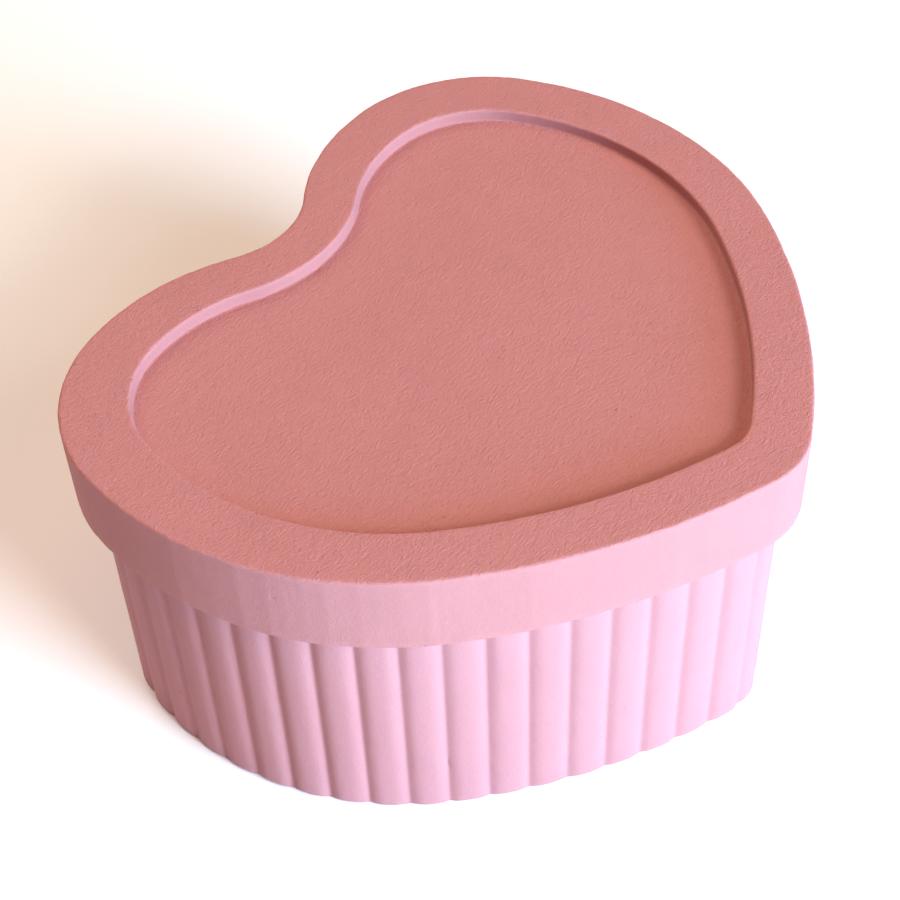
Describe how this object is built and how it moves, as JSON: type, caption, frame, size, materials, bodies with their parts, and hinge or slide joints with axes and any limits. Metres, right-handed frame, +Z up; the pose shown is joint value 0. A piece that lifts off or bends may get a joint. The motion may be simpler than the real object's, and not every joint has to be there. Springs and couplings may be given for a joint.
{
  "type": "heart-shaped trinket box",
  "caption": "Small heart-shaped trinket box with a reeded body and a thick lift-off lid with a sunk heart on top.",
  "frame": {"origin": "centre of the footprint of the lid's outline, on the flat underside that the box stands on", "axes": "+Z up, +X across the two lobes, +Y from the tip to the cleft"},
  "size_m": [0.1, 0.0854, 0.048],
  "materials": {
    "body_pink": "matte",
    "lid_pink": "matte"
  },
  "bodies": {
    "base": {"box_body": "body_pink"},
    "lid": {"lid": "lid_pink"}
  },
  "joints": [
    {"name": "lid_lift", "type": "slide", "parent": "base", "child": "lid", "axis": [0, 0, 1], "range_m": [0, 0.06]}
  ]
}
